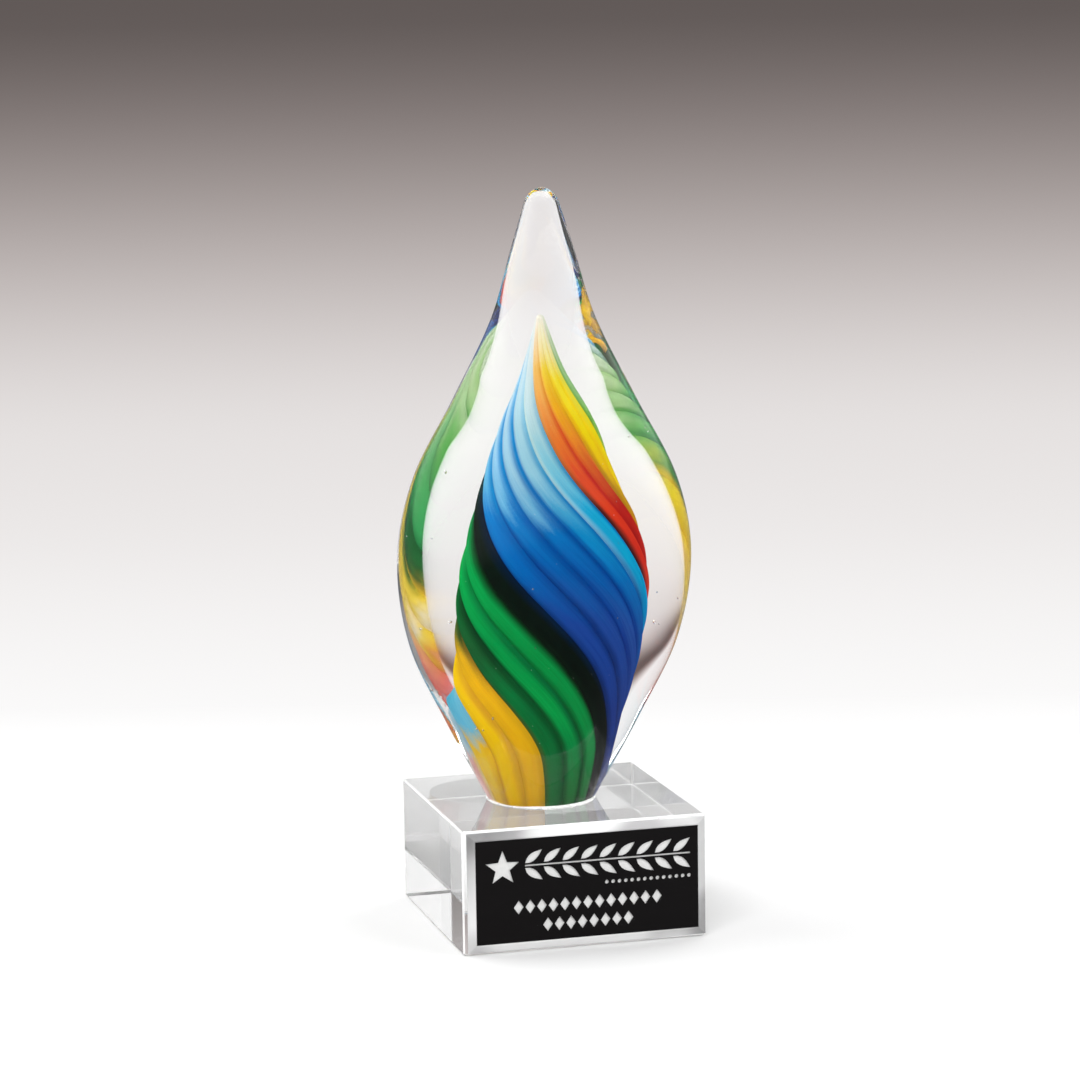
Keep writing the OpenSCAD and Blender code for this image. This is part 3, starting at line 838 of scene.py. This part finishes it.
@dataclass
class CaneBundle:
    """Sixteen twisted colour canes and the white gather they lie on."""

    MAP = "cane_lay"

    form: CoreForm
    rings: int = 170
    steps: int = 14
    bed_steps: int = 4
    white: WhiteGlass = WhiteGlass()

    def _cane(self, number: int, name: str, material: bpy.types.Material) -> bpy.types.Object:
        """Lays one cane as a closed twisted strip.

        Args:
            number: Place of the cane round the core.
            name: Name of the piece.
            material: Its colour glass.

        Returns:
            The cane.
        """
        z = self.form.levels(self.rings)
        across = 0.5 - 0.5 * np.cos(np.pi * np.linspace(0, 1, self.steps + 1))
        across[0], across[-1] = 1e-6, 1 - 1e-6
        bed = np.linspace(1 - 1e-6, 1e-6, self.bed_steps + 1)
        outer = self.form.rib(number + across[None, :], z[:, None])
        inner = self.form.gather(number + bed[None, :], z[:, None])
        points = np.concatenate((outer, inner), axis=1)
        sides = points.shape[1]
        last = (self.rings - 1) * sides
        faces = ring_faces(self.rings, sides)
        faces += [tuple(range(sides))[::-1], tuple(last + i for i in range(sides))]
        piece = lay_mesh(name, points.reshape(-1, 3), faces, [material], crease=38)
        share = np.concatenate((across, bed))
        level = (z / self.form.height)[:, None]
        table = np.stack(np.broadcast_arrays(share[None, :], level), axis=-1).reshape(-1, 2)
        layer = piece.data.uv_layers.new(name=self.MAP)
        corners = np.zeros(len(piece.data.loops), dtype=np.int32)
        piece.data.loops.foreach_get("vertex_index", corners)
        layer.uv.foreach_set("vector", table[corners].astype(np.float32).ravel())
        return piece

    def _gather(self) -> bpy.types.Object:
        """Turns the white gather, closed at foot and tip."""
        z = self.form.levels(self.rings)
        sides = self.form.canes * self.bed_steps
        cane = np.arange(sides) / self.bed_steps
        points = self.form.gather(cane[None, :], z[:, None]).reshape(-1, 3)
        ends = [self.form.point(np.array(0.0), np.array(0.0), np.array(h)) for h in (0.0, self.form.height)]
        low = len(points)
        faces = ring_faces(self.rings, sides)
        faces += fan_faces(0, sides, low, downward=True)
        faces += fan_faces((self.rings - 1) * sides, sides, low + 1)
        points = np.concatenate((points, ends))
        return lay_mesh("white_gather_glass", points, faces, [self.white.material()], crease=60)

    def build(self) -> list[bpy.types.Object]:
        """Lays the gather and all canes.

        Returns:
            The pieces, gather first.
        """
        gather = self._gather()
        settle(gather, "white_glass", "white_gather")
        pieces = [gather]
        count: dict[Hue, int] = {}
        for number, (hue, wisp, stops) in enumerate(CANE_LAY):
            count[hue] = count.get(hue, 0) + 1
            node = f"{hue.value}_cane_{count[hue]}"
            finish = CaneGlass(f"{node}_glass", stops, self.form.height, seed=5.0 * number + 1.0, wisp=wisp)
            piece = self._cane(number, f"twisted_{node}", finish.material())
            settle(piece, f"{hue.value}_glass", node)
            pieces.append(piece)
        return pieces


# ---------------------------------------------------------------- block, glue and nameplate


@dataclass
class CrystalBlock:
    """The clear crystal block: polished faces and ground, polished chamfers."""

    faces_finish: ClearGlass = ClearGlass("polished_crystal", refraction=1.51, smear=0.008, cord_scale=14.0,
                                          cord_depth=0.000004)
    edge_finish: ClearGlass = ClearGlass("ground_chamfer", refraction=1.51, polish=0.16, smear=0.12, cord_scale=900.0,
                                         cord_depth=0.00001, milk=0.4)
    chamfer: float = 0.5

    def build(self) -> bpy.types.Object:
        """Saws, grinds and polishes the block.

        Returns:
            The block.
        """
        low, high = (Vector(c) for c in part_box("crystal_block"))
        mesh = bmesh.new()
        bmesh.ops.create_cube(mesh, size=1.0, matrix=Matrix.LocRotScale((low + high) / 2, None, high - low))
        result = bmesh.ops.bevel(mesh, geom=list(mesh.edges), offset=self.chamfer * MM, segments=1, profile=0.5,
                                 affect="EDGES", clamp_overlap=True)
        for face in result["faces"]:
            face.material_index = 1
        ground = [f for f in mesh.faces if f.material_index == 1]
        small = [e for e in mesh.edges if all(f in ground for f in e.link_faces)]
        bmesh.ops.bevel(mesh, geom=small, offset=0.05 * MM, segments=1, affect="EDGES")
        data = bpy.data.meshes.new("polished_block")
        mesh.to_mesh(data)
        mesh.free()
        data.materials.append(self.faces_finish.material())
        data.materials.append(self.edge_finish.material())
        piece = bpy.data.objects.new("polished_block", data)
        bpy.context.scene.collection.objects.link(piece)
        settle(piece, "crystal", "crystal_block")
        return piece


@dataclass
class FootGlue:
    """The thin bed of glue under the flame, with its squeezed-out lip."""

    form: FlameForm
    finish: CuredGlue = CuredGlue()
    sides: int = 128
    lip: float = 0.7

    def build(self) -> bpy.types.Object:
        """Presses the glue out.

        Returns:
            The glue.
        """
        low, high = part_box("foot_glue")
        bottom, top = low[2] / MM, high[2] / MM
        rim = (high[0] - low[0]) / 2 / MM
        middle = (high[0] + low[0]) / 2 / MM
        wall = rim - self.lip
        # reach from the middle, and height, from the bottom's middle round the lip to the top
        profile = ((wall * 0.5, bottom - 0.03), (rim - 0.1, bottom - 0.03), (rim, bottom + 0.02),
                   (rim - 0.02, bottom + 0.1), (rim - 0.14, bottom + 0.22), (rim - 0.34, bottom + 0.33),
                   (rim - 0.56, bottom + 0.46),
                   (wall - 0.02, bottom + 0.6), (wall - 0.35, bottom + 0.5), (wall - 0.6, top + 0.05),
                   (wall * 0.5, top + 0.05))
        turn = np.radians(np.linspace(0, 360, self.sides, endpoint=False))
        uneven = 1 + 0.006 * np.sin(3 * turn + 0.4) + 0.004 * np.sin(7 * turn + 2.0)
        points = []
        for reach, height in profile:
            stretch = np.where(reach > wall, 1 + (uneven - 1) * (reach - wall) / self.lip, 1.0)
            points.append(np.stack((middle + reach * stretch * np.sin(turn), -reach * stretch * np.cos(turn),
                                    np.full_like(turn, height)), axis=-1))
        points = np.concatenate(points)
        ends = [(middle, 0.0, profile[0][1]), (middle, 0.0, profile[-1][1])]
        last = (len(profile) - 1) * self.sides
        faces = ring_faces(len(profile), self.sides)
        faces += fan_faces(0, self.sides, len(points), downward=True)
        faces += fan_faces(last, self.sides, len(points) + 1)
        piece = lay_mesh("glue_bed", np.concatenate((points, ends)), faces, [self.finish.material()], crease=50)
        settle(piece, "clear_glue", "foot_glue")
        return piece


@dataclass
class Nameplate:
    """The adhesive sheet, the bevelled silver plate and the engraved black panel."""

    adhesive: FoamAdhesive = FoamAdhesive()
    coat: BlackCoat = BlackCoat()
    bevel: float = 2.1
    line: float = 0.5
    edge: float = 0.5
    recess: float = 0.25
    ease: float = 0.06

    def _sheet(self) -> bpy.types.Object:
        """Cuts the adhesive sheet, a little uneven along its edges, and presses it on to the crystal."""
        low, high = (np.array(c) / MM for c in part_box("adhesive_sheet"))
        middle, size = (low + high) / 2, high - low
        mesh = bmesh.new()
        bmesh.ops.create_grid(mesh, x_segments=64, y_segments=32, size=0.5)
        draw = random.Random(5)
        for vert in mesh.verts:
            x, z = vert.co.x, vert.co.y
            nibble = 0.0014 * draw.uniform(-1, 1)
            if abs(x) > 0.499:
                x -= math.copysign(abs(nibble), x)
            if abs(z) > 0.499:
                z -= math.copysign(abs(nibble) * 2, z)
            vert.co = Vector((middle[0] + x * size[0], high[1] + 0.03, middle[2] + z * size[2])) * MM
        rim = bmesh.ops.extrude_face_region(mesh, geom=list(mesh.faces))
        fronts = [v for v in rim["geom"] if isinstance(v, bmesh.types.BMVert)]
        bmesh.ops.translate(mesh, verts=fronts, vec=(0, -(size[1] + 0.05) * MM, 0))
        bmesh.ops.recalc_face_normals(mesh, faces=list(mesh.faces))
        data = bpy.data.meshes.new("pressed_adhesive")
        mesh.to_mesh(data)
        mesh.free()
        data.materials.append(self.adhesive.material())
        piece = bpy.data.objects.new("pressed_adhesive", data)
        bpy.context.scene.collection.objects.link(piece)
        settle(piece, "adhesive", "adhesive_sheet")
        return piece

    def _plate(self) -> bpy.types.Object:
        """Mills the plate: frames from the back to the recess floor, joined at mitred corners."""
        low, high = (np.array(c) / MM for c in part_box("silver_plate"))
        middle = (low + high) / 2
        wide, tall = (high[0] - low[0]) / 2, (high[2] - low[2]) / 2
        back, front = high[1], low[1]
        floor = front + self.recess
        slope = (abs(front - back) - self.edge) / self.bevel
        inner = self.bevel + self.line
        # inset from the plate's edge, and y, with small eased steps at every arris
        frames = ((self.ease, back), (0.0, back - self.ease), (0.0, back - self.edge + self.ease),
                  (self.ease, back - self.edge - self.ease * slope),
                  (self.bevel - self.ease, front + self.ease * slope), (self.bevel + self.ease, front),
                  (inner - self.ease, front), (inner, front + self.ease), (inner, floor - 0.01), (inner + 0.02, floor))
        points = []
        for inset, y in frames:
            x, z = wide - inset, tall - inset
            corners = ((-1, -1), (1, -1), (1, 1), (-1, 1))
            points += [(middle[0] + sx * x, y, middle[2] + sz * z) for sx, sz in corners]
        last = 4 * (len(frames) - 1)
        faces = ring_faces(len(frames), 4)
        faces += [(3, 2, 1, 0), (last, last + 1, last + 2, last + 3)]
        piece = lay_mesh("bevelled_plate", np.array(points), faces,
                         [SilverFinish(Polish.MIRROR).material(), SilverFinish(Polish.ENGRAVED).material()])
        piece.data.polygons.foreach_set("use_smooth", [False] * len(piece.data.polygons))
        piece.data.polygons[len(piece.data.polygons) - 1].material_index = 1
        settle(piece, "silver", "silver_plate")
        return piece

    def build(self) -> list[bpy.types.Object]:
        """Makes the sheet and the plate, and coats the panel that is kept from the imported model.

        Returns:
            The new pieces.
        """
        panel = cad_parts["black_panel"]
        black = self.coat.material()
        for slot in panel.material_slots:
            slot.material = black
        LOG.info("black_panel: kept, %d faces", len(panel.data.polygons))
        return [self._sheet(), self._plate()]


# ---------------------------------------------------------------- stage


@dataclass
class Studio:
    """Pale floor that sweeps up into a backdrop, soft light, and the camera."""

    floor_z: float = -0.0003
    sweep_start: float = 0.75
    sweep_radius: float = 0.9
    floor_paper: float = 0.525
    floor_glow: float = 0.09
    # places on the sweep, from and to, told by distance behind the award plus height in metres
    floor_ends: tuple[float, float] = (0.16, 0.35)
    gentle_fall: tuple[float, float] = (0.2, 1.65)
    steep_fall: tuple[float, float] = (1.0, 1.7)
    light_again: tuple[float, float] = (1.74, 2.12)
    # brightness that each fall takes away
    gentle: float = 0.38
    steep: float = 0.5
    warmth: tuple[float, float] = (0.18, 0.22)
    # brightness of the air round the stage, from straight down (0) over the horizon (0.5) to straight up (1)
    air: Stations = ((0.0, 0.22), (0.535, 0.22), (0.575, 0.85), (0.66, 1.0), (0.78, 0.5), (0.88, 0.30),
                     (1.0, 0.28))
    # share of that brightness left in front of the award, behind the camera
    front_air: float = 0.28
    distance: float = 1.22
    yaw: float = -15.19
    elevation: float = 9.08
    roll: float = -0.87
    aside: float = -0.00206
    lift: float = 0.12303
    lens: float = 123.83

    def _sweep(self) -> None:
        """Bends one sheet from the floor up behind the award and makes it glow, toned with height."""
        bend = np.radians(np.linspace(0, 90, 49))
        run = [(-3.0, 0.0), (-1.0, 0.0), (0.0, 0.0)]
        radius = self.sweep_radius
        run += [(self.sweep_start + radius * math.sin(b), radius * (1 - math.cos(b))) for b in bend]
        run += [(self.sweep_start + radius, 3.0)]
        half = 4.0
        points = [(x, y, z + self.floor_z) for y, z in run for x in (-half, half)]
        faces = [(2 * i, 2 * i + 1, 2 * i + 3, 2 * i + 2) for i in range(len(run) - 1)]
        desk = Desk("glowing_studio_paper")
        _, y, z = desk.axes(desk.place())
        far = desk.math("ADD", y, z)
        near = desk.spread(far, *self.floor_ends)
        # the sheet glows, a little on the floor by the award and fully further back, where its colour is black and all
        # its brightness is emitted light
        desk.set(Base_Color=desk.blend(near, (self.floor_paper,) * 3, (0.0, 0.0, 0.0)), Roughness=0.9,
                 Specular_IOR_Level=0.0, Emission_Color=self._tone(desk, far),
                 Emission_Strength=desk.spread(near, 0.0, 1.0, self.floor_glow, 1.0))
        paper = lay_mesh("studio_sweep", np.array(points) / MM, faces, [desk.material])
        paper.rotation_euler[2] = math.radians(self.yaw)
        paper.visible_glossy = False

    def _tone(self, desk: Desk, far: bpy.types.NodeSocket) -> bpy.types.NodeSocket:
        """Tones the sweep's glow: white near the award, down to a warm dark grey behind it as painted shade, and light
        over that as painted light.

        Args:
            desk: Desk of the sweep's material.
            far: Distance behind the award plus height.

        Returns:
            The colour.
        """
        gentle = desk.math("MULTIPLY", desk.spread(far, *self.gentle_fall), self.gentle)
        steep = desk.math("MULTIPLY", desk.spread(far, *self.steep_fall, smooth=True), self.steep)
        below = desk.math("SUBTRACT", 1.0, desk.spread(far, *self.light_again, smooth=True))
        dark = desk.math("MULTIPLY", desk.math("ADD", gentle, steep), below)
        level = desk.math("SUBTRACT", 1.0, dark)
        less = (desk.math("SUBTRACT", 1.0, desk.math("MULTIPLY", dark, share)) for share in self.warmth)
        green, blue = (desk.math("MULTIPLY", level, factor) for factor in less)
        return desk.vector(level, green, blue)

    def _sky(self) -> None:
        """Even soft light from all round, whiter low down than overhead."""
        world = bpy.data.worlds.new("studio_air")
        bpy.context.scene.world = world
        world.use_nodes = True
        tree = world.node_tree
        place = tree.nodes.new("ShaderNodeTexCoord")
        split = tree.nodes.new("ShaderNodeSeparateXYZ")
        ramp = tree.nodes.new("ShaderNodeValToRGB")
        tree.links.new(place.outputs["Generated"], split.inputs[0])
        lift = tree.nodes.new("ShaderNodeMapRange")
        lift.inputs["From Min"].default_value = -1.0
        tree.links.new(split.outputs["Z"], lift.inputs["Value"])
        tree.links.new(lift.outputs[0], ramp.inputs[0])
        stops = ramp.color_ramp.elements
        stops[0].position, stops[-1].position = self.air[0][0], self.air[-1][0]
        for height, _ in self.air[1:-1]:
            stops.new(height)
        for stop, (_, level) in zip(stops, self.air):
            stop.color = (level, level, level, 1)
        dim = tree.nodes.new("ShaderNodeMapRange")
        dim.interpolation_type = "SMOOTHSTEP"
        for name, number in (("From Min", -0.9), ("From Max", 0.1), ("To Min", self.front_air), ("To Max", 1.0)):
            dim.inputs[name].default_value = number
        tree.links.new(split.outputs["Y"], dim.inputs["Value"])
        tree.links.new(ramp.outputs[0], tree.nodes["Background"].inputs[0])
        tree.links.new(dim.outputs[0], tree.nodes["Background"].inputs[1])

    def _softbox(self, name: str, place: Rgb, size: tuple[float, float], power: float,
                 through: bool = True) -> None:
        """Hangs one softbox, facing the award.

        Args:
            name: Name of the light.
            place: Where it hangs, in metres.
            size: Width and height in metres.
            power: Power in watts.
            through: Whether it shows through the glass.
        """
        light = bpy.data.lights.new(name, "AREA")
        light.shape = "RECTANGLE"
        light.size, light.size_y = size
        light.energy = power
        lamp = bpy.data.objects.new(name, light)
        lamp.location = place
        lamp.visible_glossy = False
        lamp.visible_transmission = through
        lamp.rotation_euler = (Vector((0, 0, 0.12)) - Vector(place)).to_track_quat("-Z", "Y").to_euler()
        bpy.context.scene.collection.objects.link(lamp)

    def _camera(self) -> None:
        """Stands the camera in front, a little to the left and above."""
        yaw, rise, roll = (math.radians(v) for v in (self.yaw, self.elevation, self.roll))
        back = Vector((math.sin(yaw) * math.cos(rise), -math.cos(yaw) * math.cos(rise), math.sin(rise)))
        level = Vector((math.cos(yaw), math.sin(yaw), 0))
        upright = level.cross(-back)
        right = level * math.cos(roll) + upright * math.sin(roll)
        up = upright * math.cos(roll) - level * math.sin(roll)
        eye = back * self.distance + level * self.aside + upright * self.lift
        data = bpy.data.cameras.new("award_camera")
        data.lens = self.lens
        data.sensor_width = 36
        data.clip_start = 0.05
        camera = bpy.data.objects.new("award_camera", data)
        camera.matrix_world = Matrix((right, up, back)).transposed().to_4x4()
        camera.location = eye
        bpy.context.scene.collection.objects.link(camera)
        bpy.context.scene.camera = camera

    def build(self) -> None:
        """Sets the whole stage."""
        self._sweep()
        self._sky()
        self._softbox("softbox_left", (-0.55, -1.15, 1.15), (1.2, 1.1), 31)
        self._softbox("softbox_right", (1.05, -0.95, 0.60), (1.1, 1.1), 17, through=False)
        self._softbox("bounce_card", (0.40, -1.45, 0.26), (0.9, 0.42), 1.5)
        self._softbox("softbox_back_left", (-0.70, 0.42, 0.95), (0.9, 0.8), 12)
        self._softbox("softbox_back_right", (0.75, 0.42, 0.85), (0.8, 0.8), 6)
        self._camera()
        scene = bpy.context.scene
        scene.view_settings.view_transform = "Standard"
        scene.cycles.max_bounces = 20
        scene.cycles.transmission_bounces = 20
        scene.cycles.glossy_bounces = 10
        scene.cycles.diffuse_bounces = 4
        scene.cycles.use_denoising = True


def main() -> None:
    """Builds the award piece by piece, from the block up, then the stage."""
    logging.basicConfig(level=logging.INFO, format="%(name)s: %(message)s")
    flame = FlameForm()
    core = CoreForm(flame)
    CrystalBlock().build()
    Nameplate().build()
    FootGlue(flame).build()
    CaneBundle(core).build()
    GlassFlame(flame, core).build()
    Studio().build()


if __name__ == "__main__":
    main()
